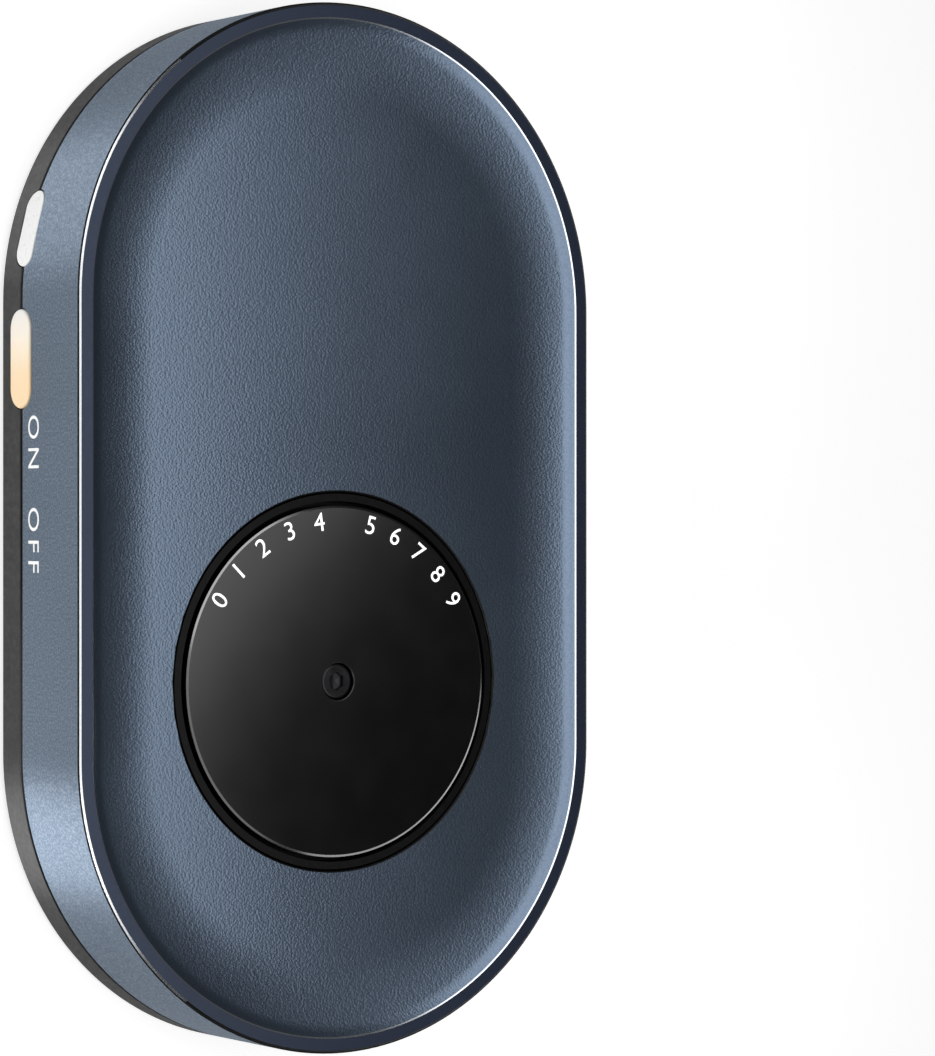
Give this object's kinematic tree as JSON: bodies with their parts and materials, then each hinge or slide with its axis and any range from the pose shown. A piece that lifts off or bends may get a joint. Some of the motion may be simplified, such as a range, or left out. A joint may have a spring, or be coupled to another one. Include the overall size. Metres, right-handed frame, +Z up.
{
  "type": "mouse jiggler",
  "caption": "Slim stadium-shaped case with a dished top and a motor-driven turntable disc that keeps an optical mouse seeing motion, with a side power button.",
  "frame": {"origin": "on the desk plane, under the middle of the case", "axes": "+Z up along the disc axis, +Y along the length towards the inlet end, power button on the -X side"},
  "size_m": [0.0809, 0.14, 0.0214],
  "materials": {
    "base_black": "satin moulded plastic",
    "shell_slate": "satin slate-blue paint with a fine texture on top",
    "foot_rubber": "matt",
    "screw_steel": "zinc plated",
    "well_black": "matt moulded",
    "frame_white": "moulded",
    "bronze": "sintered bronze",
    "steel": "ground",
    "disc_black": "high gloss",
    "screw_black": "blackened steel",
    "gear_white": "acetal",
    "brass": "bright",
    "motor_zinc": "zinc plated drawn steel",
    "motor_black": "moulded",
    "lead_red": "PVC sleeve",
    "button_cream": "satin translucent",
    "switch_black": "moulded",
    "lens_white": "satin light guide",
    "led_white": "epoxy",
    "board_green": "solder mask",
    "socket_steel": "tin plated",
    "chip_black": "moulded",
    "capacitor_sleeve": "shrink sleeve",
    "ceramic_tan": "ceramic"
  },
  "bodies": {
    "case": {"base_cover": "base_black", "top_shell": "shell_slate", "rubber_feet": "foot_rubber", "case_screws": "screw_steel", "mechanism_screws": "screw_steel", "turntable_well": "well_black", "mechanism_plate": "frame_white", "lower_bush": "bronze", "upper_bush": "bronze", "gear_pin_1": "steel", "gear_pin_2": "steel", "motor_can": "motor_zinc", "motor_end_cap": "motor_black", "motor_terminals": "brass", "motor_leads": "lead_red", "motor_screws": "screw_steel", "switch_body": "switch_black", "light_lens": "lens_white", "status_led": "led_white", "control_board": "board_green", "board_screws": "screw_steel", "usb_socket": "socket_steel", "usb_tongue": "motor_black", "microcontroller": "chip_black", "motor_driver": "chip_black", "crystal": "steel", "storage_capacitor": "capacitor_sleeve", "chip_resistors": "chip_black", "chip_capacitors": "ceramic_tan", "lead_header": "frame_white"},
    "turntable": {"turntable_disc": "disc_black", "turntable_screw": "screw_black", "spindle": "steel", "drive_pins": "steel", "output_gear": "gear_white"},
    "gear_2": {"reduction_gear_2": "gear_white"},
    "gear_1": {"reduction_gear_1": "gear_white"},
    "motor_rotor": {"motor_shaft": "steel", "motor_pinion": "brass"},
    "button": {"power_button": "button_cream", "switch_plunger": "frame_white"}
  },
  "joints": [
    {"name": "disc_spin", "type": "hinge", "parent": "case", "child": "turntable", "pos_m": [0, -0.0205, 0.016], "axis": [0, 0, 1], "continuous": true},
    {"name": "gear_2_spin", "type": "hinge", "parent": "case", "child": "gear_2", "pos_m": [0.009, -0.00491, 0.009], "axis": [0, 0, 1], "continuous": true},
    {"name": "gear_1_spin", "type": "hinge", "parent": "case", "child": "gear_1", "pos_m": [0.009, 0.01009, 0.011], "axis": [0, 0, 1], "continuous": true},
    {"name": "motor_spin", "type": "hinge", "parent": "case", "child": "motor_rotor", "pos_m": [-0.00399, 0.01759, 0.012], "axis": [0, 0, 1], "continuous": true},
    {"name": "power_button_press", "type": "slide", "parent": "case", "child": "button", "axis": [1, 0, 0], "range_m": [0, 0.0008], "stiffness_N_per_m": 600}
  ],
  "couplings": [
    {"joint": "gear_2_spin", "follows": "disc_spin", "ratio": -5},
    {"joint": "gear_1_spin", "follows": "disc_spin", "ratio": 20},
    {"joint": "motor_spin", "follows": "disc_spin", "ratio": -80}
  ]
}
